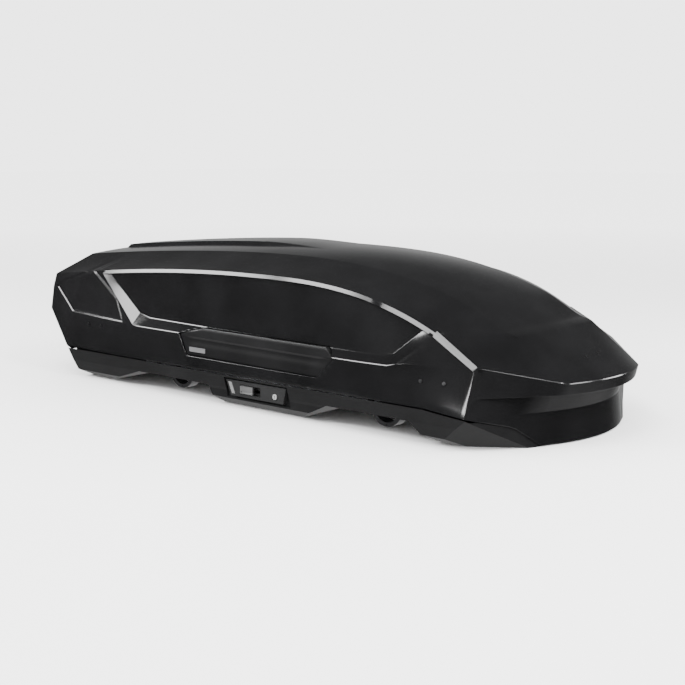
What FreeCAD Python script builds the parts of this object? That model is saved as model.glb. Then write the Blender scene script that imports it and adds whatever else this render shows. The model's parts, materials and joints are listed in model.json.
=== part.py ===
import FreeCAD, Part
import math
import os

# Roof cargo box that opens from either side.  Millimetres; X points to the nose, Y to the left, Z up.
# The origin is in the middle of the length and width, on the plane of the feet.

Vector = FreeCAD.Vector
os.makedirs("parts", exist_ok=True)

# Driving dimensions
NOSE_X = 971.0              # front edge of the lip, on the centre line; the tail is as far back
LIP_BULGE = 0.0012          # how fast the lip runs back from the centre line, per mm squared
SKIN = 4.0                  # wall thickness of lid and tray
PARTING_Z = 102.0           # lower edge of the lid along the sides
SEAM = 1.6                  # gap between lid edge and tray edge
CHANNEL_Z = 58.0            # underside of the tray over the load bars
LOW_HALF_WIDTH = 424.0      # outside of the walls at the parting line
BELT_HALF_WIDTH = 426.0     # widest line, just under the side windows
BELT_Z = 207.0
FOOT_HALF_WIDTH = 345.0
SHELF_Z = 85.5              # shelf that carries the hinge cradles and the lock bars
RIM_HALF_WIDTH = 388.0
RIM_TOP_Z = 130.0
RIM_FRONT_X = 700.0
HINGE_Y = 398.0
HINGE_Z = 118.0
PIN_RADIUS = 4.0
PIN_PLAY = 0.05
HINGE_X = (-430.0, 470.0)
CLAMP_X = (-405.0, 437.0)
CLAMP_Y = 300.0
LOCK_X = 26.0
LOCK_TRAVEL = 24.0
STEM_X = (-26.0, 6.0)       # stem of the lock slide, when released
HANDLE_X = 12.0
SIDES = (("right", -1.0), ("left", 1.0))
ENDS = (("rear", CLAMP_X[0]), ("front", CLAMP_X[1]))


def save(name, shape):
    shape.exportStep("parts/" + name + ".step")


def box(x0, x1, y0, y1, z0, z1):
    return Part.makeBox(x1 - x0, y1 - y0, z1 - z0, Vector(x0, y0, z0))


def side_box(side, x0, x1, y0, y1, z0, z1):
    """Box between two distances from the centre line, on one side of it."""
    low, high = sorted((side * y0, side * y1))
    return box(x0, x1, low, high, z0, z1)


def closed(points):
    return Part.makePolygon([Vector(*p) for p in points + [points[0]]])


def prism(points, direction):
    return Part.Face(closed(points)).extrude(Vector(*direction))


def prism_y(outline, y0, y1):
    """Solid from an outline of (x, z) points."""
    return prism([(x, y0, z) for x, z in outline], (0, y1 - y0, 0))


def prism_x(outline, x0, x1):
    """Solid from an outline of (y, z) points."""
    return prism([(x0, y, z) for y, z in outline], (x1 - x0, 0, 0))


def rod_x(x0, x1, y, z, radius):
    return Part.makeCylinder(radius, x1 - x0, Vector(x0, y, z), Vector(1, 0, 0))


def rod_y(x, y0, y1, z, radius):
    return Part.makeCylinder(radius, y1 - y0, Vector(x, y0, z), Vector(0, 1, 0))


def rod_z(x, y, z0, z1, radius):
    return Part.makeCylinder(radius, z1 - z0, Vector(x, y, z0), Vector(0, 0, 1))


def fuse(shapes):
    return shapes[0].multiFuse(shapes[1:]).removeSplitter()


def mirrored(shape):
    return shape.mirror(Vector(0, 0, 0), Vector(0, 1, 0))


def both_sides(outline):
    """Close a half outline of (y, z) points with its mirror image."""
    return outline + [(-y, z) for y, z in reversed(outline)]


def fall(x, start, end, amount, power):
    """Amount by which a line has dropped at x, from nothing at start."""
    reach = max(0.0, (x - start) / (end - start))
    return amount * reach ** power


# ---------------------------------------------------------------- lines of the lid

def belt(x):
    y = BELT_HALF_WIDTH - fall(x, 300, 757, 68, 2.3) - fall(x, -400, -960, 17, 2)
    z = BELT_Z + fall(x, -400, -960, 16, 1.5)
    return y, z


def low_edge(x):
    y = LOW_HALF_WIDTH - fall(x, 500, 775, 5, 2) - fall(x, -500, -900, 17, 2)
    return y, PARTING_Z


def shoulder(x):
    y = 393.0 - fall(x, -40, 620, 48, 1.8)
    z = 404.0 - fall(x, -40, 620, 117, 3) - fall(x, -40, -695, 35, 1.8)
    return y, z


def ridge(x):
    y = 200.0 + fall(x, 775, -900, 75, 1.4)
    z = 450.0 - fall(x, -100, 775, 174.5, 2.7) - fall(x, -100, -900, 42, 1.7)
    return y, z


def crown_rise(x):
    return max(1.0, 18.0 - fall(x, -100, 775, 17, 1.6) - fall(x, -100, -900, 3, 1))


def lid_section(x, skin):
    """Closed cross-section of the lid at x, moved inwards by skin."""
    belt_y, belt_z = belt(x)
    low_y, low_z = low_edge(x)
    half = [(low_y, -30.0), (low_y, low_z), (belt_y, belt_z), shoulder(x), ridge(x)]
    rise = (0.0, 0.0, 0.0, -0.8 * skin, -skin)
    right = [Vector(x, skin - y, z + dz) for (y, z), dz in zip(half, rise)]
    left = [Vector(p.x, -p.y, p.z) for p in right]
    top = Vector(x, 0, ridge(x)[1] + crown_rise(x) - skin)
    edges = [Part.makeLine(a, b) for a, b in zip(right, right[1:])]
    edges.append(Part.Arc(right[-1], top, left[-1]).toShape())
    edges += [Part.makeLine(b, a) for a, b in reversed(list(zip(left, left[1:])))]
    edges.append(Part.makeLine(left[0], right[0]))
    return Part.Wire(edges)


def plan_wire(z, front_x, corner, side_point, skin):
    """Plan outline with a curved front: corner and side_point are (x, y) on the left."""
    far_y = 620.0
    slope = (side_point[0] - corner[0]) / (side_point[1] - corner[1])
    flank_x = corner[0] + slope * (far_y - corner[1])
    rear_mid = -NOSE_X - 4.0 + skin
    rear_side = rear_mid + 28.0
    nose = [Vector(flank_x - skin, -far_y, z), Vector(corner[0] - skin, -corner[1], z),
            Vector(front_x - skin, 0, z), Vector(corner[0] - skin, corner[1], z),
            Vector(flank_x - skin, far_y, z)]
    rear = [Vector(rear_side, far_y, z), Vector(rear_mid, 0, z), Vector(rear_side, -far_y, z)]
    return Part.Wire([
        Part.makeLine(nose[0], nose[1]),
        Part.Arc(nose[1], nose[2], nose[3]).toShape(),
        Part.makeLine(nose[3], nose[4]),
        Part.makeLine(nose[4], rear[0]),
        Part.Arc(rear[0], rear[1], rear[2]).toShape(),
        Part.makeLine(rear[2], nose[0])])


# Corner of the lip, corner of the side, tip of the shoulder and corner of the bonnet, on the left
LIP_Z = 169.0
LEDGE_Z = 137.0
CORNER_Y = 192.0
LIP_CORNER = (NOSE_X - LIP_BULGE * CORNER_Y ** 2, CORNER_Y, LIP_Z)
SIDE_CORNER = (757.0, 356.0, 204.0)
SHOULDER_TIP = (620.0, 346.0, 287.0)
BONNET_CORNER = (775.0, 200.0, 275.5)


def plan_stack(levels, skin):
    """Solid through plan wires at rising heights; a level is (z, front_x, corner, side_point)."""
    wires = [plan_wire(z, front_x, corner, side_point, skin) for z, front_x, corner, side_point in levels]
    return Part.makeLoft(wires, True, True)


def lip_plan(skin):
    corner = LIP_CORNER[:2]
    low = (LEDGE_Z + skin, NOSE_X - 6, (corner[0] - 6, CORNER_Y), (765.0, 392.0))
    high = (SIDE_CORNER[2], NOSE_X + 6, (corner[0] + 6, CORNER_Y), SIDE_CORNER[:2])
    roof = (520.0,) + high[1:]
    return plan_stack([low, high, roof], skin)


def chin_plan(skin):
    foot = (-40.0, 932.0, (886.0, 200.0), (771.0, 440.0))
    waist = (88.0, 914.0, (868.0, 200.0), (771.0, 421.0))
    ledge = (LEDGE_Z + skin, 930.0, (884.0, 198.0), (765.0, 392.0))
    return plan_stack([foot, waist, ledge], skin)


def stretched(inner, outer, factor):
    """Point on the ray from inner to outer, beyond outer."""
    return Vector(*[a + (b - a) * factor for a, b in zip(inner, outer)])


def nose_cutters(skin):
    """What is above the sloping top of the nose and its two side facets."""
    drop = Vector(-0.4 * skin, 0, -skin)
    up = Vector(0, 0, 400)
    over = 1.25
    bonnet_left = Vector(*BONNET_CORNER)
    bonnet_right = Vector(bonnet_left.x, -bonnet_left.y, bonnet_left.z)
    lip_left = stretched(BONNET_CORNER, LIP_CORNER, over)
    lip_right = Vector(lip_left.x, -lip_left.y, lip_left.z)
    lip_front = stretched((BONNET_CORNER[0], 0, BONNET_CORNER[2]), (NOSE_X, 0, LIP_Z), over)
    crease = Part.makeLine(bonnet_right, bonnet_left)
    lip = Part.Arc(lip_right, lip_front, lip_left).toShape()
    top = Part.makeRuledSurface(crease, lip)
    tip = stretched(BONNET_CORNER, SHOULDER_TIP, 1.6)
    side = stretched(LIP_CORNER, SIDE_CORNER, 1.6)
    facet = Part.makeRuledSurface(Part.makeLine(bonnet_left, lip_left), Part.makeLine(tip, side))
    cutters = []
    for face in (top, facet, mirrored(facet)):
        face.translate(drop)
        cutters.append(face.extrude(up))
    return cutters


def tail_profile(skin):
    """Side view of the tail, as the outline of what stays."""
    s = skin
    return [(-891 + s, 60), (-891 + s, 108), (-NOSE_X + 1.2 * s, 224), (-965 + s, 342),
            (-906 + 0.5 * s, 412 - s), (-860, 520), (1100, 520), (1100, -60), (-891 + s, -60)]


STATIONS = (-1000, -860, -680, -480, -260, -40, 160, 320, 440, 540, 620, 700, 775)
SPINE_STATIONS = (-1000, -700, -450, -260, -100, 60)


def spine_section(x, skin):
    """Raised band along the middle of the roof, which fades out towards the nose."""
    top = ridge(x)[1] + crown_rise(x) + 9.0 - fall(x, -260, 60, 14, 1.5) - skin
    width = 104.0 - fall(x, -260, 60, 30, 1) - skin
    return closed([(x, -width - 12, top - 30), (x, -width, top - 1.5), (x, 0, top),
                   (x, width, top - 1.5), (x, width + 12, top - 30)])


def lid_body(skin):
    body = Part.makeLoft([lid_section(float(x), skin) for x in STATIONS], True, False)
    last = Part.Face(lid_section(float(STATIONS[-1]), skin))
    spine = Part.makeLoft([spine_section(float(x), skin) for x in SPINE_STATIONS], True, False)
    body = body.multiFuse([last.extrude(Vector(220, 0, 0)), spine])
    body = body.common(lip_plan(skin).fuse(chin_plan(skin)))
    body = body.common(prism_y(tail_profile(skin), -700, 700))
    for cutter in nose_cutters(skin):
        body = body.cut(cutter)
    return body


# Side view of the parting line, from tail to chin
CHIN_Z = 3.0
PARTING = [(640.0, PARTING_Z), (765.0, 90.0), (832.0, 57.0), (872.0, CHIN_Z)]


def below_parting():
    return prism_y([(-1100.0, PARTING_Z)] + PARTING + [(1100, CHIN_Z), (1100, -100), (-1100, -100)], -700, 700)


# ---------------------------------------------------------------- side windows, handles

WINDOW_STATIONS = (-760, -620, -480, -260, -40, 160, 320, 440, 540, 640)
WINDOW_DEPTH = 18.0         # at the sill
WINDOW_TOP_DEPTH = 3.0


def side_y(x, z):
    """Distance of the side wall from the centre line."""
    lower, upper = (low_edge(x), belt(x)) if z < belt(x)[1] else (belt(x), shoulder(x))
    return lower[0] + (upper[0] - lower[0]) * (z - lower[1]) / (upper[1] - lower[1])


def window_section(x, grow):
    """Section of the space cut from the left wall; grow widens it for the inner side."""
    sill = 234.0 - 0.018 * (x + 454.0)
    ledge = sill - 24.0
    top = shoulder(x)[1] - 4.0
    floor_low = side_y(x, sill) - WINDOW_DEPTH - grow
    floor_top = side_y(x, top - 4) - WINDOW_TOP_DEPTH - grow
    mouth_low = (side_y(x, ledge) + 2 * WINDOW_DEPTH, ledge - 48 - grow)
    mouth_top = (floor_top + 25, top + 36 + grow)
    return closed([(x,) + mouth_low, (x, floor_low, sill - 0.5 * grow), (x, floor_top, top - 4 + 0.5 * grow),
                   (x,) + mouth_top, (x, 520, mouth_top[1]), (x, 520, mouth_low[1])])


def window_ends(y, grow):
    """Outline between the slanted rear and front borders, at a distance y from the centre line."""
    rear = -555.0 + 2.9 * (420.0 - y) - 1.5 * grow
    front = 541.0 - 1.45 * (411.0 - y) + 1.5 * grow
    return closed([(rear + 151, y, 150), (front - 116, y, 150), (front + 538, y, 460), (rear - 337, y, 460)])


def window_cutter(grow):
    band = Part.makeLoft([window_section(float(x), grow) for x in WINDOW_STATIONS], True, False)
    ends = Part.makeLoft([window_ends(440.0, grow), window_ends(330.0, grow)], True, True)
    return mirrored(band.common(ends))


def handle_outline(grow):
    g = grow
    return [(HANDLE_X - 305 - g, 205), (HANDLE_X - 274 - 0.5 * g, 142 - g), (HANDLE_X + 259 + 0.5 * g, 137 - g),
            (HANDLE_X + 322 + g, 194), (HANDLE_X + 291 + 0.4 * g, 224 + g), (HANDLE_X - 205, 229 + g)]


def handle_pocket(grow):
    return prism_y(handle_outline(grow), -470, -396 + grow)


def lid_shell():
    outer = lid_body(0.0).cut(below_parting())
    core = lid_body(SKIN)
    for cutter, wall in ((window_cutter(0.0), window_cutter(SKIN)),
                         (handle_pocket(0.0), handle_pocket(SKIN))):
        for shape in (cutter, mirrored(cutter)):
            outer = outer.cut(shape)
        for shape in (wall, mirrored(wall)):
            core = core.cut(shape)
    return outer.cut(core)


def lid_rib(x):
    """Hat stiffener bonded under the roof of the lid."""
    slab = box(x - 30, x + 30, -330, 330, 300, 480)
    rib = lid_body(SKIN + 0.05).common(slab)
    return rib.cut(lid_body(SKIN + 14.0))


def handle(side):
    """Grip panel: flat lower band, finger scoop above it."""
    body = prism_y(handle_outline(-1.2), -421.5, -396.8)
    body = body.cut(rod_x(HANDLE_X - 150, HANDLE_X + 190, -436, 203, 27))
    back = prism_y(handle_outline(-5.0), -417.5, -390)
    body = body.cut(back.cut(rod_x(HANDLE_X - 154, HANDLE_X + 194, -436, 203, 31)))
    return body if side < 0 else mirrored(body)


def badge(side):
    """Plain raised plate at the rear end of the grip panel."""
    plate = box(HANDLE_X - 262, HANDLE_X - 192, -422.7, -421.5, 153, 167)
    return plate if side < 0 else mirrored(plate)


def dome(x, y, z, radius, direction):
    """Round rivet head whose flat back is at the given point."""
    head = Part.makeCylinder(radius, 1.6, Vector(x, y, z), Vector(*direction))
    return head.fuse(Part.makeCylinder(radius * 0.6, 2.6, Vector(x, y, z), Vector(*direction)))


def side_rivets():
    heads = []
    for x, z in ((-750.0, 190.0), (-683.0, 190.0), (620.0, 168.0), (687.0, 168.0)):
        lean = side_y(x, z - 0.5) - side_y(x, z + 0.5)
        turn = side_y(x - 0.5, z) - side_y(x + 0.5, z)
        for side in (-1.0, 1.0):
            heads.append(dome(x, side * (side_y(x, z) + 0.08), z, 5.0, (turn, side, lean)))
    return Part.makeCompound(heads)


def nose_rivets():
    reach = (887.0 - BONNET_CORNER[0]) / (NOSE_X - 1.0 - BONNET_CORNER[0])
    z = BONNET_CORNER[2] + (LIP_Z - BONNET_CORNER[2]) * reach + 0.1
    return Part.makeCompound([dome(887.0, side * 31.0, z, 5.0, (0.544, 0, 1)) for side in (-1.0, 1.0)])


# ---------------------------------------------------------------- tray

def tray_section(skin, top):
    s = skin
    wall = [(LOW_HALF_WIDTH - 0.5 - s, top), (411 - s, CHANNEL_Z + 0.4 * s), (398 - s, 24 + 0.4 * s)]
    wall.append((FOOT_HALF_WIDTH - 0.5 * s, s))
    return prism_x(both_sides(wall), -1000, 1000)


def foot_corners(skin):
    """Space outside the slanted outer corners of the two front feet."""
    blocks = []
    for side in (-1.0, 1.0):
        outward = Vector(0.41, side * 0.567, -0.714)
        block = Part.makeBox(500, 500, 200, Vector(-250, -250, 0))
        turn = FreeCAD.Rotation(Vector(0, 0, 1), outward)
        block.Placement = FreeCAD.Placement(Vector(773, side * 423, 90) - outward * skin, turn)
        blocks.append(block)
    return blocks[0].fuse(blocks[1])


def lock_bump(skin):
    """Deeper middle of the tray, whose sides stay upright for the locks."""
    s = skin
    section = [(411 - s, CHANNEL_Z + 20), (405 - s, 26 + 0.4 * s), (364 - 0.8 * s, s)]
    profile = [(-183 + s, CHANNEL_Z + 1 + s), (-158 + s, s), (170 - 0.5 * s, s), (298 - 0.5 * s, CHANNEL_Z + 1 + s)]
    return prism_x(both_sides(section), -400, 500).common(prism_y(profile, -700, 700))


def tray_profile(skin, top):
    s = skin
    k = 0.5 * s
    feet = [(-864 + s, top), (-837 + s, s), (-704 - k, s), (-506 - k, CHANNEL_Z + s), (-183 + s, CHANNEL_Z + s),
            (-158 + s, s), (170 - k, s), (298 - k, CHANNEL_Z + s), (583 + k, CHANNEL_Z + s), (643 + k, s),
            (866 - s, s)]
    nose = [(866 - s, 6), (832 - s, 57 - SEAM), (765 - s, 90 - SEAM), (640, PARTING_Z - SEAM)]
    if top > PARTING_Z:
        nose = [(866 - s, top)]
    return prism_y(feet + nose, -700, 700)


SWING_RADIUS = 31.9         # reach of the lid's lower edge about the hinge line
FRONT_SWING_RADIUS = 39.0   # the same at the front, where the lid reaches lower


def swing_room(side):
    """Space over the tray's edge that the lid's lower edge sweeps when it opens."""
    start = Vector(640, side * HINGE_Y, HINGE_Z)
    ahead = Vector(1, 0, 0)
    straight = rod_x(-880, 641, start.y, start.z, SWING_RADIUS)
    cone = Part.makeCone(SWING_RADIUS, FRONT_SWING_RADIUS, 140, start, ahead)
    corner = rod_x(780, 800, start.y, start.z, FRONT_SWING_RADIUS)
    room = straight.multiFuse([cone, corner])
    over_shelf = side_box(side, -880, RIM_FRONT_X, RIM_HALF_WIDTH + 1, 440, SHELF_Z, 140)
    over_nose = side_box(side, RIM_FRONT_X, 800, RIM_HALF_WIDTH - 10, 440, 60, 140)
    return room.common(over_shelf.fuse(over_nose))


def tray():
    top = PARTING_Z - SEAM
    outer = tray_section(0.0, top).common(tray_profile(0.0, top)).common(chin_plan(2.0))
    outer = outer.cut(foot_corners(0.0)).fuse(lock_bump(0.0))
    hollow = tray_section(SKIN, 300).common(tray_profile(SKIN, 300)).common(chin_plan(2.0 + SKIN))
    hollow = hollow.cut(foot_corners(SKIN)).fuse(lock_bump(SKIN))
    shelf_box = box(-900, RIM_FRONT_X, -500, 500, SHELF_Z - SKIN, SHELF_Z)
    inside = box(-845, RIM_FRONT_X - 5, -RIM_HALF_WIDTH + SKIN, RIM_HALF_WIDTH - SKIN, -10, 300)
    rim = box(-850, RIM_FRONT_X, -RIM_HALF_WIDTH, RIM_HALF_WIDTH, SHELF_Z - SKIN, RIM_TOP_Z)
    rim = rim.cut(inside)
    shelf = shelf_box.cut(inside).common(tray_section(0.0, top)).common(tray_profile(0.0, 300)).common(chin_plan(2.0))
    body = outer.cut(hollow).multiFuse([rim, shelf])
    slot = (STEM_X[0] - 8, STEM_X[1] + LOCK_TRAVEL + 8)
    for side in (-1.0, 1.0):
        body = body.cut(swing_room(side))
        # pocket of the lock housing, slots for the lock stem and its tab
        body = body.cut(side_box(side, LOCK_X - 128, LOCK_X + 130, 402, 440, 32, 92))
        body = body.cut(side_box(side, slot[0], slot[1], 370, 410, 53, 67))
        body = body.cut(side_box(side, slot[0], slot[1], 370, 389, 87.5, 98))
        back_wall = side_box(side, LOCK_X - 133, LOCK_X + 135, 398, 402, 28, 84)
        body = body.fuse(back_wall.cut(side_box(side, slot[0], slot[1], 380, 410, 53, 67)))
        for end, x in ENDS:
            body = body.cut(side_box(side, x - 82, x + 82, CLAMP_Y - 22, CLAMP_Y + 22, 40, 80))
    return body.removeSplitter()


def rail(side):
    """Steel stiffening rail on the tray floor, under the clamps."""
    floor = CHANNEL_Z + SKIN
    bar = side_box(side, -500, -190, CLAMP_Y - 52, CLAMP_Y - 36, floor, floor + 8)
    return bar.fuse(side_box(side, 312, 575, CLAMP_Y - 52, CLAMP_Y - 36, floor, floor + 8))


# ---------------------------------------------------------------- load-bar clamps

FLOOR_Z = CHANNEL_Z + SKIN
CLAMP_PIVOT_X = 12.0
CLAMP_PIVOT_Z = 92.0
CLAW_BORE = 42.0
CLAW_WALL = 12.0
CLAW_HALF_WIDTH = 18.0


def clamp_housing(x, y):
    shell = box(x - 90, x + 90, y - 32, y + 32, FLOOR_Z, 122)
    edges = [e for e in shell.Edges if e.BoundBox.ZMin > 121 or e.BoundBox.ZLength > 50]
    shell = shell.makeFillet(8.0, edges)
    shell = shell.cut(box(x - 84, x + 84, y - 26, y + 26, FLOOR_Z - 1, 117))
    for sign in (-1.0, 1.0):
        shell = shell.fuse(rod_y(x + sign * CLAMP_PIVOT_X, y - 28, y + 28, CLAMP_PIVOT_Z, 4.0))
    return shell.cut(rod_z(x, y, 110, 130, 8.0 + PIN_PLAY))


def clamp_knob(x, y):
    """Tightening knob with its shaft in the roof of the housing."""
    grip = rod_z(x, y, 122.5, 142, 26)
    for step in range(6):
        turn = math.radians(60 * step)
        grip = grip.cut(rod_z(x + 30 * math.cos(turn), y + 30 * math.sin(turn), 120, 145, 9))
    return grip.fuse(rod_z(x, y, 114, 123, 8.0))


def claw(x, y, sign):
    """Curved jaw on one side of the load bar; sign is +1 towards the nose."""
    outer = CLAW_BORE + CLAW_WALL
    centre = Vector(x, y - CLAW_HALF_WIDTH, CHANNEL_Z)
    ring = Part.makeCylinder(outer, 2 * CLAW_HALF_WIDTH, centre, Vector(0, 1, 0))
    ring = ring.cut(rod_y(x, y - 50, y + 50, CHANNEL_Z, CLAW_BORE))
    gap = 0.6
    reach = sorted((x + sign * gap, x + sign * 60))
    ring = ring.common(box(reach[0], reach[1], y - 30, y + 30, 0, CHANNEL_Z))
    hip = x + sign * CLAMP_PIVOT_X
    knee = x + sign * outer
    arm = prism_y([(x + sign * CLAW_BORE, CHANNEL_Z), (knee, CHANNEL_Z), (knee, CHANNEL_Z + 16),
                   (hip + sign * 5, CLAMP_PIVOT_Z + 9), (hip + sign * 5, CLAMP_PIVOT_Z - 9)],
                  y - CLAW_HALF_WIDTH, y + CLAW_HALF_WIDTH)
    eye = rod_y(hip, y - CLAW_HALF_WIDTH, y + CLAW_HALF_WIDTH, CLAMP_PIVOT_Z, 10.0)
    jaw = fuse([ring, arm, eye])
    return jaw.cut(rod_y(hip, y - 40, y + 40, CLAMP_PIVOT_Z, 4.0 + PIN_PLAY))


# ---------------------------------------------------------------- hinges and locks

def cradle(side, x):
    """Open-topped seat for a hinge pin."""
    post = side_box(side, x - 9, x + 9, HINGE_Y - 5.2, HINGE_Y + 4, SHELF_Z, 106)
    head = side_box(side, x - 9, x + 9, HINGE_Y - 9, HINGE_Y + 9, 106, 124)
    seat = post.fuse(head)
    seat = seat.cut(rod_x(x - 20, x + 20, side * HINGE_Y, HINGE_Z, PIN_RADIUS + PIN_PLAY))
    mouth = prism_x([(side * (HINGE_Y - 4.05), HINGE_Z), (side * (HINGE_Y + 4.05), HINGE_Z),
                     (side * (HINGE_Y + 5.5), 130), (side * (HINGE_Y - 5.5), 130)], x - 20, x + 20)
    return seat.cut(mouth)


def hinge_bracket(side, x):
    """Two ears under the lid wall that hold the hinge pin."""
    wall_y = side_y(x + 26, 134) - SKIN - 0.2
    plate = side_box(side, x - 26, x + 26, wall_y - 2.4, wall_y, 116, 134)
    ears = [plate]
    for sign in (-1.0, 1.0):
        near, far = sorted((x + sign * 18, x + sign * 23))
        ear = side_box(side, near, far, HINGE_Y, wall_y, HINGE_Z - 2, 132)
        ears.append(ear.fuse(rod_x(near, far, side * HINGE_Y, HINGE_Z, 9.0)))
    return fuse(ears)


def pin_holes(side, x, play):
    return rod_x(x - 30, x + 30, side * HINGE_Y, HINGE_Z, PIN_RADIUS + play)


def hinge_pin(side, x):
    """Pin through both ears, with a stub towards the tail for the lock hook."""
    pin = rod_x(x - 50, x + 27, side * HINGE_Y, HINGE_Z, PIN_RADIUS)
    return pin.fuse(rod_x(x + 27, x + 30, side * HINGE_Y, HINGE_Z, 6.0))


def lock_bar(side):
    """Flat bar on the shelf with a hook beside each hinge pin."""
    bar_y0 = HINGE_Y - 9.0
    bar_y1 = bar_y0 + 3.4
    pieces = [side_box(side, HINGE_X[0] - 63, HINGE_X[1] - 40, bar_y0, bar_y1, SHELF_Z + 2, 96.5)]
    for x in HINGE_X:
        pieces.append(side_box(side, x - 62, x - 54, bar_y0, bar_y1, 96, 131))
        pieces.append(side_box(side, x - 62, x - 54, bar_y0, HINGE_Y + 7, 124, 131))
    return fuse(pieces)


def lock_slider(side):
    """Thumb slide with the stem and tab that pull the lock bar."""
    low, high = STEM_X
    button = side_box(side, low - 8, high + 12, 413, 420, 50.5, 73.5)
    button = button.cut(side_box(side, low - 3, high + 7, 418.5, 421, 54, 58))
    stem = side_box(side, low, high, 379, 414, 56, 64)
    riser = side_box(side, low, high, 376, 379.5, 56, 95.5)
    tab = side_box(side, low, high, 376, HINGE_Y - 9.1, 90, 95.5)
    return fuse([button, stem, riser, tab])


KEY_X = LOCK_X + 81.0
KEY_Z = 58.0
KEY_RADIUS = 8.0


def lock_housing(side):
    """Cover plate of the lock, set in the side of the tray."""
    outline = [(LOCK_X - 122, 86), (LOCK_X - 101, 39), (LOCK_X + 112, 40), (LOCK_X + 124, 87)]
    body = prism_y([(x, z) for x, z in outline], -417, -402.3)
    body = body.cut(box(LOCK_X - 64, LOCK_X + 22, -430, -405, 48, 76))
    body = body.cut(box(STEM_X[0] - 4, STEM_X[1] + LOCK_TRAVEL + 4, -430, -395, 55, 65))
    body = body.cut(rod_y(KEY_X, -430, -395, KEY_Z, KEY_RADIUS + PIN_PLAY))
    slot = prism_y(insert_outline(0.2), -430, -409)
    body = body.cut(slot)
    return body if side < 0 else mirrored(body)


def insert_outline(grow):
    g = grow
    return [(LOCK_X - 114 - g, 80 + g), (LOCK_X - 99 - g, 46 - g), (LOCK_X - 84 + g, 46 - g), (LOCK_X - 99 + g, 80 + g)]


def lock_insert(side):
    """Slanted grey marker beside the slide."""
    body = prism_y(insert_outline(0.0), -416, -409)
    return body if side < 0 else mirrored(body)


def key_cylinder(side):
    body = rod_y(KEY_X, -420, -403, KEY_Z, KEY_RADIUS)
    body = body.cut(box(KEY_X - 1.2, KEY_X + 1.2, -421, -412, KEY_Z - 4.5, KEY_Z + 4.5))
    return body if side < 0 else mirrored(body)


# ---------------------------------------------------------------- export

save("lid_shell", lid_shell())
save("lid_rib_rear", lid_rib(-480.0))
save("lid_rib_front", lid_rib(250.0))
save("side_rivets", side_rivets())
save("nose_rivets", nose_rivets())
save("base_tray", tray())

for side_name, side in SIDES:
    save("handle_" + side_name, handle(side))
    save("badge_" + side_name, badge(side))
    save("floor_rail_" + side_name, rail(side))
    save("pin_cradles_" + side_name, Part.makeCompound([cradle(side, x) for x in HINGE_X]))
    hole_play = PIN_PLAY if side < 0 else 0.0
    brackets = [hinge_bracket(side, x).cut(pin_holes(side, x, hole_play)) for x in HINGE_X]
    save("hinge_brackets_" + side_name, Part.makeCompound(brackets))
    save("hinge_pins_" + side_name, Part.makeCompound([hinge_pin(side, x) for x in HINGE_X]))
    save("lock_bar_" + side_name, lock_bar(side))
    save("lock_slider_" + side_name, lock_slider(side))
    save("lock_housing_" + side_name, lock_housing(side))
    save("lock_insert_" + side_name, lock_insert(side))
    save("key_cylinder_" + side_name, key_cylinder(side))
    for end_name, x in ENDS:
        place = end_name + "_" + side_name
        y = side * CLAMP_Y
        save("clamp_housing_" + place, clamp_housing(x, y))
        save("clamp_knob_" + place, clamp_knob(x, y))
        save("claw_fore_" + place, claw(x, y, 1.0))
        save("claw_aft_" + place, claw(x, y, -1.0))
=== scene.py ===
import json
import math

import bmesh
import bpy
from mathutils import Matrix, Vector


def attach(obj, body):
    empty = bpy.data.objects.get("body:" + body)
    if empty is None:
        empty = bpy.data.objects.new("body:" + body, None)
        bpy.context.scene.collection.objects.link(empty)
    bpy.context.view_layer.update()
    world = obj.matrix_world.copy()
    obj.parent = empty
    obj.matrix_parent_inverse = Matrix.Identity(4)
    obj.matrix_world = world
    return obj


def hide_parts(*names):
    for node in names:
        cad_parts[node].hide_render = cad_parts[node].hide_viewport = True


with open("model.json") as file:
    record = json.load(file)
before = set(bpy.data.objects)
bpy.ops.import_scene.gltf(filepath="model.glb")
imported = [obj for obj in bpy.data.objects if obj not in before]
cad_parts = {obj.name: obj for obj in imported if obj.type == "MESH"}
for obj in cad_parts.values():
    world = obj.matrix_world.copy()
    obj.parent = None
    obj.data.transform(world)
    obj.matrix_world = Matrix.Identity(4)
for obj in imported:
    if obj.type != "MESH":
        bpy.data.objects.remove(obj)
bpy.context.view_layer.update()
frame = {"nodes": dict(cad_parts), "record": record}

MM = 0.001
SIDES = (1.0, -1.0)  # the left side, then the right one as its mirror image

# ------------------------------------------------------------------ helpers


def lerp(a, b, t):
    return tuple(p + (q - p) * t for p, q in zip(a, b))


def shifted(p, step):
    return tuple(a + c for a, c in zip(p, step))


def smooth(t):
    t = min(1.0, max(0.0, t))
    return t * t * (3.0 - 2.0 * t)


def shares(count):
    return [i / count for i in range(count + 1)]


def segment(a, b, count):
    """Points at equal steps from a to b."""
    return [lerp(a, b, t) for t in shares(count)]


def ruled(a, b, steps):
    """Rows between two chains with the same number of points."""
    return [[lerp(p, q, t) for p, q in zip(a, b)] for t in shares(steps)]


def along(points, t):
    """Point at a share t of the length of a chain of points."""
    steps = [math.dist(a, b) for a, b in zip(points, points[1:])]
    left = t * sum(steps)
    for a, b, step in zip(points, points[1:], steps):
        if left <= step:
            return lerp(a, b, left / step)
        left -= step
    return points[-1]


def line_distance(p, chain):
    """Distance from p to a chain of points in the side view."""
    best = math.inf
    for a, b in zip(chain, chain[1:]):
        dx, dz = b[0] - a[0], b[1] - a[1]
        t = ((p[0] - a[0]) * dx + (p[1] - a[1]) * dz) / (dx * dx + dz * dz)
        t = min(1.0, max(0.0, t))
        best = min(best, math.hypot(p[0] - a[0] - t * dx, p[1] - a[1] - t * dz))
    return best


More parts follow.
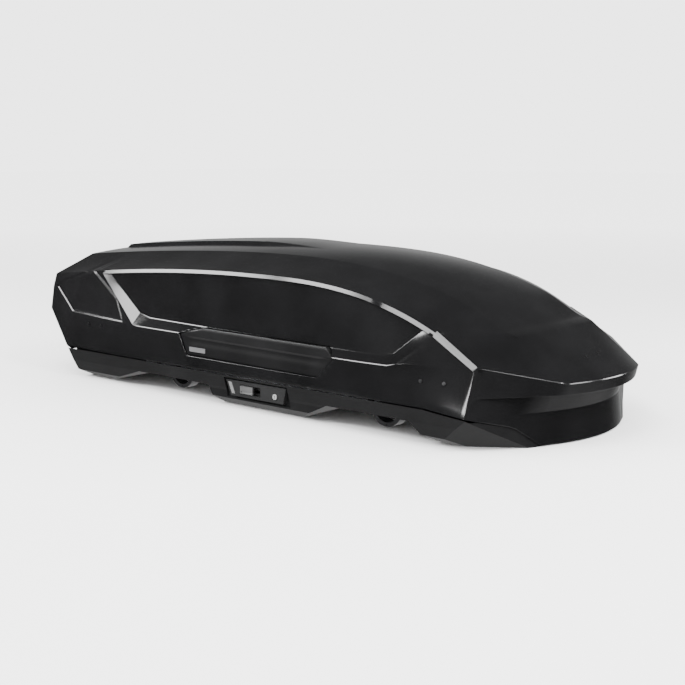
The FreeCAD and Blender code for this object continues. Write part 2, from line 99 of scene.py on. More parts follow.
def inside(p, polygon):
    odd = False
    for a, b in zip(polygon, polygon[1:] + polygon[:1]):
        if (a[1] > p[1]) != (b[1] > p[1]):
            crossing = a[0] + (b[0] - a[0]) * (p[1] - a[1]) / (b[1] - a[1])
            if p[0] < crossing:
                odd = not odd
    return odd


def chain_z(chain, x):
    """Height of a chain of (x, z) points at x."""
    for (x0, z0), (x1, z1) in zip(chain, chain[1:]):
        if x <= x1:
            return z0 + (z1 - z0) * (x - x0) / (x1 - x0)
    return chain[-1][1]


# ------------------------------------------------------------------ lines of the lid, in millimetres

SIDE_CORNER = (757.0, 356.0, 204.0)
SHOULDER_TIP = (620.0, 345.0, 287.0)
BONNET_CORNER = (775.0, 200.0, 275.5)
LIP_CORNER = (926.8, 192.0, 169.0)
WAIST_CORNER = (868.0, 200.0, 88.0)
EDGE_FOOT = (771.0, 420.0, 90.0)
# Where the narrow facets along these edges end: the side corner, its foot and the lip's corner
CHAMFER = (4.0, -7.1, 5.7)
CORNER_OUT = (754.6, 360.3, 200.6)
FOOT_OUT = (767.0, 421.0, 90.4)
LIP_EDGE = (928.1, 192.8, 166.5)
# Undercut of the nose: the lip's lower edge, the ledge behind it and the chin
UNDERCUT_Z = 137.0
LIP_FOOT = (920.8, 192.0, UNDERCUT_Z)
FLANK_JOINT = (767.0, 390.0, UNDERCUT_Z)
LEDGE_CORNER = (884.0, 198.0, UNDERCUT_Z)
CHIN_Z = 3.4
CHIN_CORNER = (879.6, 200.0, CHIN_Z)
# How far the nose reaches on the centre line
NOSE_X = 970.5
LEDGE_X = 930.0
WAIST_X = 914.0
CHIN_X = 925.6

# Tail in the side view, as (z, x), from the lid's edge up to the roof
TAIL = [
    (108.0, -891.0), (224.0, -970.0), (342.0, -964.0),
    (409.0, -906.0), (424.0, -894.0), (440.0, -880.0),
]
LOW_START = TAIL[0][1]
RIDGE_START = TAIL[3][1]


def fall(x, start, end, amount, power):
    """Amount by which a line has dropped at x, from nothing at start."""
    reach = max(0.0, (x - start) / (end - start))
    return amount * reach ** power


def belt(x):
    """Widest line of the lid: distance from the centre line, and height."""
    y = 426.0 - fall(x, 300, 757, 70, 2.3) - fall(x, -400, -960, 17, 2)
    dip = 9.0 * smooth((x + 300.0) / 780.0) * (1.0 - smooth((x - 513.0) / 60.0))
    crest = 2.0 * smooth((300.0 - x) / 500.0) * smooth((x + 900.0) / 300.0)
    front_drop = 3.0 * smooth((x - 540.0) / 200.0)
    return y, 207.0 + fall(x, -400, -960, 16, 1.5) + crest - dip - front_drop


def low_edge(x):
    """Lower edge of the lid."""
    y = 424.0 - fall(x, 500, 775, 5, 2) - fall(x, -500, -900, 17, 2)
    z = 102.0 - 12.0 * max(0.0, (x - 640.0) / 131.0)
    return y, z


def shoulder(x):
    """Upper edge of the side wall."""
    y = 393.0 - fall(x, -40, 620, 48, 1.8)
    z = 404.0 - fall(x, -40, 620, 117, 3) - fall(x, -40, -695, 35, 1.8)
    return y, z


def ridge(x):
    """Edge between the band over the shoulder and the roof."""
    y = 200.0 + fall(x, 775, -900, 75, 1.4)
    z = 448.8 - fall(x, -100, 775, 173.3, 2.7) - fall(x, -100, -900, 42, 1.7)
    dip = 9.0 * smooth((x - 610.0) / 120.0) * (1.0 - smooth((x - 730.0) / 45.0))
    return y, z - dip


def crown_rise(x):
    """Height of the roof's middle above the ridge."""
    return max(1.0, 18.0 - fall(x, -100, 775, 17, 1.6) - fall(x, -100, -900, 3, 1))


def plateau(x):
    """Height of the raised band along the middle of the roof."""
    return 10.0 * (1.0 - smooth((x + 290.0) / 330.0))


def side_y(x, z):
    """Distance of the side wall from the centre line, between belt and shoulder."""
    (y0, z0), (y1, z1) = belt(x), shoulder(x)
    return y0 + (y1 - y0) * (z - z0) / (z1 - z0)


def tail_x(z):
    for (z0, x0), (z1, x1) in zip(TAIL, TAIL[1:]):
        if z <= z1:
            return x0 + (x1 - x0) * max(0.0, z - z0) / (z1 - z0)
    return TAIL[-1][1]


# Faint facets of the rear quarter, as (x, z), with a groove along their outline
QUARTER = [
    (-747.0, 367.0), (-922.0, 314.0), (-937.0, 302.0),
    (-840.0, 229.0), (-569.0, 218.0), (-612.0, 287.0),
]
QUARTER_RISE = 2.0
GROOVE_DEPTH = 3.2
GROOVE_WIDTH = 4.0
CORNER_LEAN = 0.16  # how much the upper corner leans in, per millimetre of height


def quarter_depth(x, z):
    """How far the rear quarter lies behind the plain side wall."""
    edge = line_distance((x, z), QUARTER + QUARTER[:1])
    half = 0.5 * edge / GROOVE_WIDTH
    raised = smooth(0.5 + half) if inside((x, z), QUARTER) else smooth(0.5 - half)
    (x0, z0), (x1, z1) = QUARTER[:2]
    border = z0 + (x - x0) * (z0 - z1) / (x0 - x1)
    corner = max(0.0, z - border) if x < x0 else 0.0
    groove = GROOVE_DEPTH * math.exp(-(edge / GROOVE_WIDTH) ** 2)
    return CORNER_LEAN * corner + groove - QUARTER_RISE * raised


# ------------------------------------------------------------------ patches of the left half

quads = []
creases = []
corners = []


def patch(rows, crease=(), hard=()):
    """Quads between rows of points; crease names the rounded borders, hard the crisp ones."""
    quads.append(rows)
    borders = {
        "first": rows[0],
        "last": rows[-1],
        "start": [row[0] for row in rows],
        "end": [row[-1] for row in rows],
    }
    creases.extend(borders[name] for name in crease)
    corners.extend(borders[name] for name in hard)


# Numbers of steps in each part of the skin
ROWS = 80
QUARTER_COLS = 200
WINDOW_COLS = 100
CHEEK_COLS = 26
BAND_ROWS = 10
NOSE_ROWS = 14
FACET_COLS = 12
BORDER_STEPS = 4
MARGIN_STEPS = 2

# Window borders as (x, z): outer and inner, from the rear corner along the sill to the front corner
SILL_OUT = [(-515.0, 210.0), (-490.0, 209.0), (513.0, 198.5), (541.0, 204.0)]
SILL_IN = [(-503.0, 246.0), (-454.0, 234.0), (487.0, 217.0), (514.0, 225.0)]
SILL_DEPTH = 17.0
SILL_CORNER = 0.03  # share of the columns that each corner of the sill takes
# Ends of the window's upper border in x: outer and inner
HEAD_OUT = (-695.0, 618.0)
HEAD_IN = (-659.0, 585.0)
HEAD_DEPTH = 5.0
HEAD_WIDTH = 10.0
HEAD_STEP = 4.0
SHOULDER_START = -700.0
LINE = 2.4  # height of the narrow facets that edge the window
LINE_LEAN_OUT = 0.47
LINE_LEAN_IN = 0.33


def wall(x, z, depth):
    return (x, side_y(x, z) - depth, z)


def sill_share(t):
    """Span of the sill at a share t of the columns, and the share of that span."""
    first, last = SILL_CORNER, 1 - SILL_CORNER
    if t < first:
        return 0, t / first
    if t > last:
        return 2, (t - last) / (1 - last)
    return 1, (t - first) / (last - first)


sill_low = []
sill_out = []
sill_in = []
panel_low = []
head_out = []
head_in = []
shoulder_window = []
for t in shares(WINDOW_COLS):
    span, u = sill_share(t)
    x, z = lerp(SILL_OUT[span], SILL_OUT[span + 1], u)
    line = LINE * min(1.0, t / SILL_CORNER, (1 - t) / SILL_CORNER)
    sill_low.append((x, belt(x)[0], z - line))
    sill_out.append((x, belt(x)[0] - LINE_LEAN_OUT * line, z))
    x, z = lerp(SILL_IN[span], SILL_IN[span + 1], u)
    sill_in.append(wall(x, z, SILL_DEPTH))
    panel_low.append(wall(x, z + line, SILL_DEPTH + LINE_LEAN_IN * line))
    x = HEAD_OUT[0] + (HEAD_OUT[1] - HEAD_OUT[0]) * t
    y, z = shoulder(x)
    slant = 0.41 + 0.44 * smooth((x - 428.0) / 22.0)  # steeper towards the nose
    head_out.append((x, y + slant * HEAD_WIDTH, z - HEAD_WIDTH))
    x = HEAD_IN[0] + (HEAD_IN[1] - HEAD_IN[0]) * t
    head_in.append(wall(x, shoulder(x)[1] - HEAD_WIDTH - HEAD_STEP, HEAD_DEPTH))
    x = SHOULDER_START + (SHOULDER_TIP[0] - SHOULDER_START) * t
    shoulder_window.append((x,) + shoulder(x))
shoulder_window[-1] = SHOULDER_TIP

patch([sill_low, sill_out], hard=("first", "last"))
patch(ruled(sill_out, sill_in, BORDER_STEPS))
patch([sill_in, panel_low], hard=("first", "last"))
patch(ruled(panel_low, head_in, ROWS), ("start", "end"), ("last",))
patch(ruled(head_in, head_out, MARGIN_STEPS), hard=("last",))
patch(ruled(head_out, shoulder_window, MARGIN_STEPS), hard=("last",))

# Slanted rear border of the window, and the quarter behind it
QUARTER_LOW = 223.0
QUARTER_HEIGHT = 117.5
QUARTER_MARGIN = 0.75  # height of each row above the window's upper border
FLUSH_SHARE = 0.03  # share of the columns over which the quarter's relief fades out

rear_out = segment(sill_out[0], head_out[0], ROWS)
rear_in = segment(sill_in[0], head_in[0], ROWS)
patch(ruled(rear_out, rear_in, BORDER_STEPS), ("first",))
tail_edge = []
for i in range(ROWS + MARGIN_STEPS + 1):
    above = max(0, i - ROWS)
    z = QUARTER_LOW + QUARTER_HEIGHT * min(1.0, i / ROWS) + QUARTER_MARGIN * above
    x = tail_x(z)
    tail_edge.append((x, side_y(x, z), z))
border = rear_out + segment(head_out[0], shoulder_window[0], MARGIN_STEPS)[1:]
quarter = []
for far, near in zip(tail_edge, border):
    row = []
    for u in shares(QUARTER_COLS)[:-1]:
        x, y, z = lerp(far, near, u)
        flush = smooth((1.0 - u) / FLUSH_SHARE)
        row.append(wall(x, z, flush * max(0.0, quarter_depth(x, z))))
    quarter.append(row + [near])
patch(quarter, ("last", "start"))

# Front border of the window, and the side as far as the corner of the nose
front_out = segment(sill_out[-1], head_out[-1], ROWS)
front_in = segment(sill_in[-1], head_in[-1], ROWS)
patch(ruled(front_in, front_out, BORDER_STEPS), ("last",))
cheek_left = front_out + segment(head_out[-1], SHOULDER_TIP, MARGIN_STEPS)[1:]
cheek_start = SILL_OUT[-1][0]
belt_front = []
for u in shares(CHEEK_COLS):
    x = cheek_start + (SIDE_CORNER[0] - cheek_start) * u
    belt_front.append((x,) + belt(x))
belt_front[0] = sill_out[-1]
belt_front[-1] = CORNER_OUT
cheek_top = segment(SHOULDER_TIP, CORNER_OUT, CHEEK_COLS)
cheek = []
for start, v in zip(cheek_left, shares(len(cheek_left) - 1)):
    fix = tuple(s - b for s, b in zip(start, lerp(belt_front[0], cheek_top[0], v)))
    row = []
    for i, u in enumerate(shares(CHEEK_COLS)):
        base = lerp(belt_front[i], cheek_top[i], v)
        row.append(tuple(b + f * (1 - u) for b, f in zip(base, fix)))
    cheek.append(row)
patch(cheek, hard=("last",))


def matched(chain, chain_end, start, end, line, last):
    """Points on another line, spread like those of the chain, that end at the point last."""
    points = []
    for x, _, _ in chain:
        share = (x - chain[0][0]) / (chain_end - chain[0][0])
        place = start + (end - start) * share
        points.append((place,) + line(place))
    return points[:-1] + [last]


# Lower band, from the lid's edge up to the belt and the sill
belt_chain = quarter[0] + sill_low[1:] + belt_front[1:]
low_chain = matched(belt_chain, SIDE_CORNER[0], LOW_START, EDGE_FOOT[0], low_edge, FOOT_OUT)
patch(ruled(low_chain, belt_chain, 6), ("start",), ("end",))

# Upper band between shoulder and ridge
shoulder_chain = quarter[-1] + shoulder_window[1:]
ridge_chain = matched(
    shoulder_chain, SHOULDER_TIP[0], RIDGE_START, BONNET_CORNER[0], ridge, BONNET_CORNER)
patch(ruled(shoulder_chain, ridge_chain, BAND_ROWS), ("last", "start", "end"))

# Roof: the raised band's side rises between its foot and its edge, given as distances from the
# centre line and as shares of the columns
FOOT_Y, EDGE_Y = 117.0, 106.0
FOOT_SHARE, EDGE_SHARE = 0.5, 0.44
ROOF_BOW = 9.0
ROOF_SHARES = [1.0 - 0.05 * i for i in range(11)] + [0.47]
ROOF_SHARES += [EDGE_SHARE - 0.04 * i for i in range(11)] + [0.0]


def roof_point(x, share, front):
    """Point of the roof at a share of the ridge's distance from the centre line."""
    y_ridge, z_ridge = ridge(x)
    if share > FOOT_SHARE:
        y = FOOT_Y + (y_ridge - FOOT_Y) * (share - FOOT_SHARE) / (1.0 - FOOT_SHARE)
        lift = 0.0
    elif share > EDGE_SHARE:
        outward = (share - EDGE_SHARE) / (FOOT_SHARE - EDGE_SHARE)
        y = EDGE_Y + (FOOT_Y - EDGE_Y) * outward
        lift = plateau(x) * (1 - outward)
    else:
        y = EDGE_Y * share / EDGE_SHARE
        lift = plateau(x)
    middle = 1 - (y / y_ridge) ** 2
    return (x + front * ROOF_BOW * middle, y, z_ridge + crown_rise(x) * middle + lift)


roof = []
for (x, _, _), t in zip(ridge_chain, shares(len(ridge_chain) - 1)):
    roof.append([roof_point(x, share, t ** 6) for share in ROOF_SHARES])
roof = [list(column) for column in zip(*roof)]
roof[0] = ridge_chain
patch(roof, ("start", "end"))


def across(start, x_mid, z_mid=None):
    """Chain from a point on the side to the centre line, bowed in plan."""
    z_mid = start[2] if z_mid is None else z_mid
    chain = []
    for share in ROOF_SHARES:
        w = 1 - share * share
        x = start[0] + (x_mid - start[0]) * w
        chain.append((x, start[1] * share, start[2] + (z_mid - start[2]) * w))
    return chain


# Tail: a skirt turned in under the edge, and three faces from the side to the centre line
SKIRT = (26.0, 0.0, -10.0)

tail_low = across(low_chain[0], -893.0)
tail_knee = across(belt_chain[0], -971.0, belt_chain[0][2] + 1)
tail_top = across(shoulder_chain[0], -967.0)
tail_roof = [row[0] for row in roof]
patch([[shifted(p, SKIRT) for p in tail_low], tail_low])
patch(ruled(tail_low, tail_knee, 6), ("last",))
patch(ruled(tail_knee, tail_top, ROWS + MARGIN_STEPS), ("last",))
patch(ruled(tail_top, tail_roof, BAND_ROWS))

# Nose: the bonnet and its lip
bonnet_edge = [row[-1] for row in roof]
lip_line = across(LIP_CORNER, NOSE_X - 1.7)
lip_top = across(LIP_EDGE, NOSE_X)
patch(ruled(bonnet_edge, lip_line, NOSE_ROWS), ("first", "start"))
patch([lip_line, lip_top], hard=("first", "last"))

# Side facet with its chamfer
tip_in = shifted(SHOULDER_TIP, tuple(0.7 * c for c in CHAMFER))
corner_in = shifted(SIDE_CORNER, CHAMFER)
facet_outer = segment(tip_in, corner_in, NOSE_ROWS)
facet_inner = segment(BONNET_CORNER, LIP_CORNER, NOSE_ROWS)
patch([segment(a, b, FACET_COLS) for a, b in zip(facet_outer, facet_inner)], hard=("start",))
facet_edge = segment(tip_in, corner_in, CHEEK_COLS)
patch([[a, b] for a, b in zip(cheek_top, facet_edge)], hard=("start", "end"))
patch([[SHOULDER_TIP, tip_in], [SHOULDER_TIP, BONNET_CORNER]])

# Flank under the facet, with the narrow facets down the corner
facet_side = segment(corner_in, LIP_CORNER, FACET_COLS)
flank_top = segment(corner_in, LIP_EDGE, FACET_COLS)
patch([facet_side, flank_top], hard=("first", "last"))
flank_low = segment(FLANK_JOINT, LIP_FOOT, FACET_COLS)
patch(ruled(flank_top, flank_low, 4), ("last",))
corner_joint = lerp(CORNER_OUT, FOOT_OUT, 0.55)
patch([[CORNER_OUT, corner_in], [corner_joint, FLANK_JOINT]], hard=("start", "end"))
patch([[corner_joint, FLANK_JOINT], [FOOT_OUT, EDGE_FOOT]], hard=("start", "end"))

# Undercut: lip, ledge, waist and chin
lip_low = across(LIP_FOOT, NOSE_X - 6.0)
patch(ruled(lip_top, lip_low, 4), ("last",))
ledge = across(LEDGE_CORNER, LEDGE_X)
flank_ledge = segment(FLANK_JOINT, LEDGE_CORNER, FACET_COLS)
patch(ruled(lip_low, ledge, 3), ("last",))
patch(ruled(flank_low, flank_ledge, 3), ("last",))
waist = across(WAIST_CORNER, WAIST_X)
patch(ruled(ledge, waist, 5), ("last", "start"))
flank_waist = segment(EDGE_FOOT, WAIST_CORNER, FACET_COLS)
patch(ruled(flank_ledge, flank_waist, 5), ("last",))
foot = across(CHIN_CORNER, CHIN_X)
patch(ruled(waist, foot, 6), ("start",))
parting = [EDGE_FOOT, (832.0, 292.0, 57.0), (872.0, 221.0, CHIN_Z), CHIN_CORNER]
flank_foot = [along(parting, u) for u in shares(FACET_COLS)]
patch(ruled(flank_waist, flank_foot, 6))

# ------------------------------------------------------------------ mesh of the lid, in metres

SHARP_ANGLE = math.radians(38)
WELDS_PER_MM = 10  # points in the same tenth of a millimetre become one
HANDLE_X = 0.012
POCKET_GAP = 0.6
POCKET_BACK = 0.398
POCKET_SIDE = 0.385
POCKET_REACH = (-0.34, 0.38)


def handle_outline(grow):
    """Outline of the grip panel in the side view as (x, z), grown by millimetres."""
    g = grow * MM
    return [
        (HANDLE_X - 0.305 - g, 0.205),
        (HANDLE_X - 0.274 - g / 2, 0.142 - g),
        (HANDLE_X + 0.259 + g / 2, 0.137 - g),
        (HANDLE_X + 0.322 + g, 0.194),
        (HANDLE_X + 0.291 + g, 0.224 + g),
        (HANDLE_X - 0.205, 0.229 + g),
    ]


def cut_pocket(bm, side):
    """Cut the pocket of a grip panel into a side and turn its rim in."""
    outline = handle_outline(POCKET_GAP)

    def on_side(face):
        return face.calc_center_median().y * side > POCKET_SIDE

    for a, b in zip(outline, outline[1:] + outline[:1]):
        near = [f for f in bm.faces if on_side(f)
                and POCKET_REACH[0] < f.calc_center_median().x < POCKET_REACH[1]]
        geometry = near + list({e for f in near for e in f.edges})
        geometry += list({v for f in near for v in f.verts})
        normal = Vector((b[1] - a[1], 0, a[0] - b[0])).normalized()
        bmesh.ops.bisect_plane(
            bm, geom=geometry, dist=1e-6, plane_co=(a[0], 0, a[1]), plane_no=normal)
    hole = [f for f in bm.faces if on_side(f)
            and inside((f.calc_center_median().x, f.calc_center_median().z), outline)]
    rim = {e for f in hole for e in f.edges if any(g not in hole for g in e.link_faces)}
    bmesh.ops.delete(bm, geom=hole, context="FACES")
    rim = [e for e in rim if e.is_valid]
    for element in bmesh.ops.extrude_edge_only(bm, edges=rim)["geom"]:
        if isinstance(element, bmesh.types.BMVert):
            element.co.y = side * POCKET_BACK


def build_lid():
    bm = bmesh.new()
    vertices = {}

    def vertex(p, side):
        p = (p[0], side * p[1], p[2])
        key = tuple(round(c * WELDS_PER_MM) for c in p)
        if key not in vertices:
            vertices[key] = bm.verts.new([c * MM for c in p])
        return vertices[key]

    def edges_along(chains):
        for side in SIDES:
            for chain in chains:
                for a, b in zip(chain, chain[1:]):
                    va, vb = vertex(a, side), vertex(b, side)
                    edge = bm.edges.get((va, vb)) if va is not vb else None
                    if edge is not None:
                        yield edge

    for side in SIDES:
        for rows in quads:
            for low, high in zip(rows, rows[1:]):
                for i in range(len(low) - 1):
                    loop = []
                    for p in (low[i], low[i + 1], high[i + 1], high[i]):
                        v = vertex(p, side)
                        if v not in loop:
                            loop.append(v)
                    if len(loop) < 3:
                        continue
                    if not any(set(f.verts) == set(loop) for f in loop[0].link_faces):
                        bm.faces.new(loop)
    weight = bm.edges.layers.float.new("bevel_weight_edge")
    for edge in edges_along(creases):
        edge[weight] = 1.0
    bmesh.ops.recalc_face_normals(bm, faces=bm.faces)
    for face in bm.faces:
        face.smooth = True
    for edge in bm.edges:
        edge.smooth = edge.calc_face_angle(0.0) < SHARP_ANGLE
    for edge in edges_along(corners):
        edge.smooth = False
    for side in SIDES:
        cut_pocket(bm, side)
    mesh = bpy.data.meshes.new("lid_skin")
    bm.to_mesh(mesh)
    bm.free()
    return mesh


# ------------------------------------------------------------------ materials


def add_node(tree, kind, operation=None, **inputs):
    """New shader node, with values for inputs named with _ in place of a space."""
    node = tree.nodes.new("ShaderNode" + kind)
    if operation:
        node.operation = operation
    for name, value in inputs.items():
        node.inputs[name.replace("_", " ")].default_value = value
    return node


def remapped(tree, source, before, after):
    """Output that runs over the range after while the source runs over the range before."""
    node = add_node(tree, "MapRange", From_Min=before[0], From_Max=before[1],
                    To_Min=after[0], To_Max=after[1])
    tree.links.new(source, node.inputs["Value"])
    return node.outputs["Result"]


MATERIALS = {}


def plastic(name, colour, rough, grain, gloss=0.3, mottle=0.25, scratches=0.0, bump=0.1,
            stretch=(6.0, 120.0, 120.0)):
    """Moulded plastic: mottled colour, a grained surface, faint scratches and uneven gloss."""
    m = bpy.data.materials.new(name)
    m.use_nodes = True
    t = m.node_tree
    shader = t.nodes["Principled BSDF"]
    shader.inputs["IOR"].default_value = 1.5
    shader.inputs["Specular IOR Level"].default_value = gloss
    place = add_node(t, "TexCoord").outputs["Object"]
    cloud = add_node(t, "TexNoise", Scale=7.0, Detail=4.0)
    t.links.new(place, cloud.inputs["Vector"])
    ramp = add_node(t, "ValToRGB")
    dark, light = ramp.color_ramp.elements
    dark.position, light.position = 0.3, 0.7
    dark.color = [c * (1 - mottle) for c in colour] + [1]
    light.color = [c * (1 + mottle) for c in colour] + [1]
    t.links.new(cloud.outputs["Fac"], ramp.inputs["Fac"])
    t.links.new(ramp.outputs["Color"], shader.inputs["Base Color"])
    fine = add_node(t, "TexNoise", Scale=grain, Detail=3.0)
    t.links.new(place, fine.inputs["Vector"])
    roughness = remapped(t, cloud.outputs["Fac"], (0.0, 1.0), (rough * 0.85, rough * 1.2))
    if scratches:
        stretched = add_node(t, "Mapping", Scale=stretch)
        t.links.new(place, stretched.inputs["Vector"])
        lines = add_node(t, "TexNoise", Scale=9.0, Detail=6.0)
        t.links.new(stretched.outputs["Vector"], lines.inputs["Vector"])
        mix = add_node(t, "Math", "MULTIPLY_ADD")
        mix.inputs[1].default_value = scratches
        t.links.new(lines.outputs["Fac"], mix.inputs[0])
        t.links.new(roughness, mix.inputs[2])
        roughness = mix.outputs["Value"]
    t.links.new(roughness, shader.inputs["Roughness"])
    relief = add_node(t, "Bump", Strength=bump, Distance=0.0006)
    t.links.new(fine.outputs["Fac"], relief.inputs["Height"])
    t.links.new(relief.outputs["Normal"], shader.inputs["Normal"])
    MATERIALS[name] = m


def metal(name, colour, rough):
    """Metal with a brushed or plated finish."""
    plastic(name, colour, rough, 260.0, mottle=0.08, scratches=0.18, bump=0.05,
            stretch=(4.0, 60.0, 60.0))
    shader = MATERIALS[name].node_tree.nodes["Principled BSDF"]
    shader.inputs["Metallic"].default_value = 1.0


plastic("gloss_shell", (0.0035, 0.0035, 0.0037), 0.13, 420.0,
        gloss=0.22, scratches=0.04, bump=0.02)
plastic("rib", (0.03, 0.03, 0.032), 0.6, 900.0)
metal("rivet", (0.035, 0.035, 0.036), 0.35)
plastic("tray_plastic", (0.0045, 0.0045, 0.0047), 0.5, 1100.0, gloss=0.1, bump=0.3)
metal("steel", (0.42, 0.43, 0.44), 0.35)
metal("pin_steel", (0.55, 0.55, 0.56), 0.22)
plastic("handle_plastic", (0.0045, 0.0045, 0.0047), 0.3, 700.0,
        gloss=0.1, scratches=0.06, bump=0.05)
metal("badge_plate", (0.45, 0.45, 0.46), 0.35)
plastic("lock_plastic", (0.006, 0.006, 0.0062), 0.5, 1200.0, bump=0.25)
plastic("grey_insert", (0.09, 0.09, 0.09), 0.4, 800.0, mottle=0.08)
metal("silver_slide", (0.3, 0.3, 0.3), 0.35)
metal("key_metal", (0.55, 0.55, 0.55), 0.5)
plastic("clamp_plastic", (0.03, 0.03, 0.032), 0.55, 800.0, bump=0.3)
plastic("knob_plastic", (0.05, 0.05, 0.052), 0.65, 900.0, bump=0.3)
plastic("claw_plastic", (0.02, 0.02, 0.021), 0.45, 900.0, bump=0.3)

for part in frame["record"]["subparts"]:
    node = frame["nodes"][part["node"]]
    node.data.materials.clear()
    node.data.materials.append(MATERIALS[part["material_slot"]])

# ------------------------------------------------------------------ lid

lid = bpy.data.objects.new("lid_skin", build_lid())
bpy.context.scene.collection.objects.link(lid)
lid.data.materials.append(MATERIALS["gloss_shell"])
rounding = lid.modifiers.new("edges", "BEVEL")
rounding.width = 0.0018
rounding.segments = 2
rounding.limit_method = "WEIGHT"
rounding.use_clamp_overlap = True
rounding.miter_outer = "MITER_ARC"
thick = lid.modifiers.new("wall", "SOLIDIFY")
thick.thickness = 0.0032
thick.offset = -1.0
normals = lid.modifiers.new("shade", "WEIGHTED_NORMAL")
normals.keep_sharp = True
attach(lid, "lid")
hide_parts("lid_shell")

# ------------------------------------------------------------------ grip panels, in millimetres

GRIP_FACE = 421.5  # distance of the grip's crease from the centre line
GRIP_BACK = 399.0
GRIP_COLS = 120
GRIP_INSET = -1.2  # growth of the pocket's outline that leaves a gap round the panel
GRIP_BEVEL = 1.2
GRIP_SHARP = math.radians(16)
CREASE_Z = 200.0
CREASE_FALL = 5.0
UPPER_LEAN = 0.15  # how much the upper face leans in, per millimetre of height
HOLLOW_DEPTH = 3.6
HOLLOW_ENDS = (-290.0, 332.0)
HOLLOW_FADE = 60.0
LOWER_ROWS = 14
UPPER_ROWS = 6


def grip_point(x, z, crease, low, high):
    """Point of the grip: leaning in above its crease, and with a shallow hollow below it."""
    if z >= crease:
        y = GRIP_FACE - UPPER_LEAN * (z - crease)
    else:
        down = crease - z
        ends = smooth((x - HOLLOW_ENDS[0]) / HOLLOW_FADE) * smooth((HOLLOW_ENDS[1] - x) / HOLLOW_FADE)
        hollow = HOLLOW_DEPTH * ends * smooth(down / 6.0) * (1.0 - smooth((down - 10.0) / 24.0))
        y = GRIP_FACE - hollow
    return (x, y - GRIP_BEVEL * (1.0 - smooth(min(z - low, high - z) / 2.0)), z)


def build_grip(side):
    outline = [(x / MM, z / MM) for x, z in handle_outline(GRIP_INSET)]
    lower = outline[:4]
    upper = [outline[0], outline[5], outline[4], outline[3]]
    bm = bmesh.new()
    columns = []
    for t in shares(GRIP_COLS):
        x = lower[0][0] + (lower[-1][0] - lower[0][0]) * t
        low, high = chain_z(lower, x), chain_z(upper, x)
        crease = min(high, max(low, CREASE_Z - CREASE_FALL * t))
        heights = [low + (crease - low) * s ** 0.8 for s in shares(LOWER_ROWS)]
        heights += [crease + (high - crease) * s for s in shares(UPPER_ROWS)[1:]]
        face = [grip_point(x, z, crease, low, high) for z in heights]
        points = [(x, GRIP_BACK, low)] + face + [(x, GRIP_BACK, high)]
        columns.append([bm.verts.new((MM * a, MM * side * b, MM * c)) for a, b, c in points])
    for left, right in zip(columns, columns[1:]):
        for j in range(len(left) - 1):
            bm.faces.new((left[j], right[j], right[j + 1], left[j + 1]))
    bmesh.ops.remove_doubles(bm, verts=bm.verts, dist=0.00005)
    bmesh.ops.holes_fill(bm, edges=[e for e in bm.edges if e.is_boundary], sides=0)
    bmesh.ops.recalc_face_normals(bm, faces=bm.faces)
    for face in bm.faces:
        face.smooth = True
    for edge in bm.edges:
        edge.smooth = edge.calc_face_angle(0.0) < GRIP_SHARP
    mesh = bpy.data.meshes.new("grip")
    bm.to_mesh(mesh)
    bm.free()
    return mesh


for name, side in (("right", -1.0), ("left", 1.0)):
    grip = bpy.data.objects.new("grip_" + name, build_grip(side))
    bpy.context.scene.collection.objects.link(grip)
    grip.data.materials.append(MATERIALS["handle_plastic"])
    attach(grip, "lid")
    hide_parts("handle_" + name)

# ------------------------------------------------------------------ stage and world, in metres

FLOOR_HALF = 40.0
FLOOR_DROP = 0.0005
# The floor gets lighter between these distances, so that it looks even from the camera
FLOOR_REACH = (1.5, 9.0)
FLOOR_GREY = (0.66, 0.97)

BRIGHT_ROOM = 3.6
# What polished surfaces mirror: a dark room with a pale horizon on one side and a lighter ground
DARK_ROOM = 0.12
HORIZON_TOWARDS = (-0.66, 0.75, 0.0)
HORIZON_GLOW = 0.5
GROUND_GLOW = 2.4


def stage_floor():
    bm = bmesh.new()
    bmesh.ops.create_grid(bm, x_segments=4, y_segments=4, size=FLOOR_HALF)
    mesh = bpy.data.meshes.new("floor")
    bm.to_mesh(mesh)
    bm.free()
    obj = bpy.data.objects.new("floor", mesh)
    bpy.context.scene.collection.objects.link(obj)
    obj.location.z = -FLOOR_DROP
    m = bpy.data.materials.new("floor")
    m.use_nodes = True
    tree = m.node_tree
    shader = tree.nodes["Principled BSDF"]
    place = add_node(tree, "TexCoord")
    reach = add_node(tree, "VectorMath", "LENGTH")
    tree.links.new(place.outputs["Object"], reach.inputs[0])
    grey = remapped(tree, reach.outputs["Value"], FLOOR_REACH, FLOOR_GREY)
    tree.links.new(grey, shader.inputs["Base Color"])
    shader.inputs["Roughness"].default_value = 1.0
    shader.inputs["Specular IOR Level"].default_value = 0.0
    obj.data.materials.append(m)
    obj.visible_glossy = False


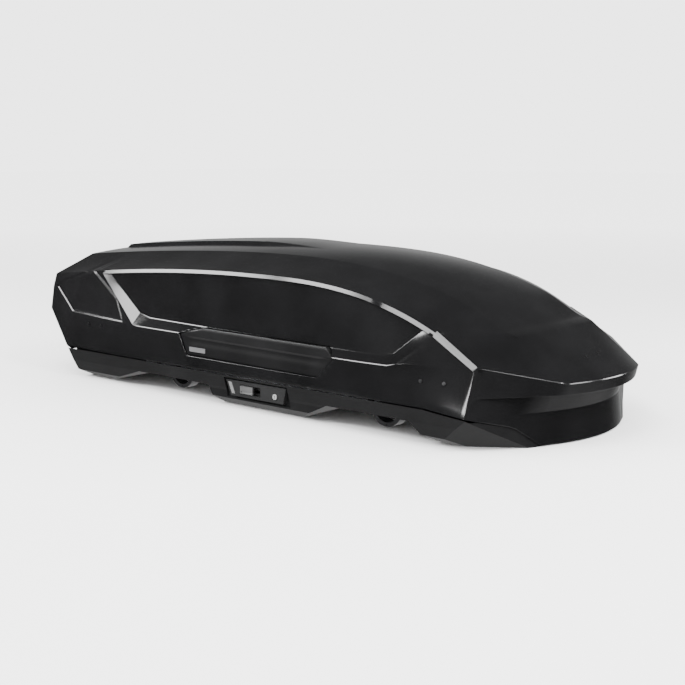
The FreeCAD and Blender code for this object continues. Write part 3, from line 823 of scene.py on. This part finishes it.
def studio_world():
    """Bright room for the camera, and a dark one for what polished surfaces mirror."""
    world = bpy.data.worlds.new("studio")
    bpy.context.scene.world = world
    world.use_nodes = True
    tree = world.node_tree
    plain = tree.nodes["Background"]
    plain.inputs["Color"].default_value = (1, 1, 1, 1)
    plain.inputs["Strength"].default_value = BRIGHT_ROOM

    direction = add_node(tree, "TexCoord").outputs["Generated"]
    split = add_node(tree, "SeparateXYZ")
    tree.links.new(direction, split.inputs["Vector"])
    up = split.outputs["Z"]
    towards = add_node(tree, "VectorMath", "DOT_PRODUCT")
    towards.inputs[1].default_value = HORIZON_TOWARDS
    tree.links.new(direction, towards.inputs[0])
    glow = add_node(tree, "Math", "MULTIPLY_ADD")
    glow.inputs[2].default_value = DARK_ROOM
    sector = remapped(tree, towards.outputs["Value"], (0.55, 0.95), (0.0, 1.0))
    tree.links.new(sector, glow.inputs[0])
    tree.links.new(remapped(tree, up, (0.12, 0.4), (HORIZON_GLOW, 0.0)), glow.inputs[1])
    total = add_node(tree, "Math", "ADD")
    tree.links.new(glow.outputs["Value"], total.inputs[0])
    tree.links.new(remapped(tree, up, (-0.35, -0.7), (0.0, GROUND_GLOW)), total.inputs[1])
    mirrored = add_node(tree, "Background")
    tree.links.new(total.outputs["Value"], mirrored.inputs["Strength"])

    mix = add_node(tree, "MixShader")
    tree.links.new(add_node(tree, "LightPath").outputs["Is Glossy Ray"], mix.inputs["Fac"])
    tree.links.new(plain.outputs["Background"], mix.inputs[1])
    tree.links.new(mirrored.outputs["Background"], mix.inputs[2])
    tree.links.new(mix.outputs["Shader"], tree.nodes["World Output"].inputs["Surface"])


def aim(obj, direction):
    obj.rotation_euler = Vector(direction).to_track_quat("-Z", "Y").to_euler()


def area(name, place, target, size, power):
    """Rectangular light in watts that shines from its place at a target."""
    light = bpy.data.lights.new(name, "AREA")
    light.shape = "RECTANGLE"
    light.size, light.size_y = size
    light.energy = power
    obj = bpy.data.objects.new(name, light)
    bpy.context.scene.collection.objects.link(obj)
    obj.visible_camera = False
    obj.location = place
    aim(obj, Vector(target) - Vector(place))


stage_floor()
studio_world()
area("side_left", (-3.2, -2.6, 1.95), (0.0, -0.4, 0.4), (1.5, 0.8), 170)
area("side", (-1.75, -3.2, 2.4), (0.0, -0.4, 0.3), (1.2, 0.75), 150)
area("over_corner", (0.5, -1.63, 3.0), (0.65, -0.36, 0.26), (1.2, 0.5), 72)
area("over_camera", (1.84, -2.9, 2.35), (0.76, -0.39, 0.15), (0.5, 0.5), 40)
area("side_near", (-0.1, -1.55, 1.1), (0.4, -0.37, 0.36), (0.36, 0.26), 4.5)
area("front_high", (2.4, -0.6, 2.6), (0.85, -0.27, 0.18), (0.8, 0.8), 120)
area("front_mid", (2.85, 1.1, 2.05), (0.95, -0.1, 0.17), (1.0, 0.6), 60)
area("front_far", (2.0, 2.3, 1.35), (0.95, -0.1, 0.17), (1.2, 0.6), 60)

# ------------------------------------------------------------------ camera

SENSOR_WIDTH = 36.0
FOCAL_LENGTH = 62.07
CAMERA_PLACE = (2.42874, -2.80018, 0.74859)
CAMERA_AIM = (-0.64674, 0.74612, -0.15816)

camera = bpy.data.objects.new("camera", bpy.data.cameras.new("camera"))
bpy.context.scene.collection.objects.link(camera)
camera.data.sensor_width = SENSOR_WIDTH
camera.data.lens = FOCAL_LENGTH
camera.location = CAMERA_PLACE
aim(camera, CAMERA_AIM)
bpy.context.scene.camera = camera
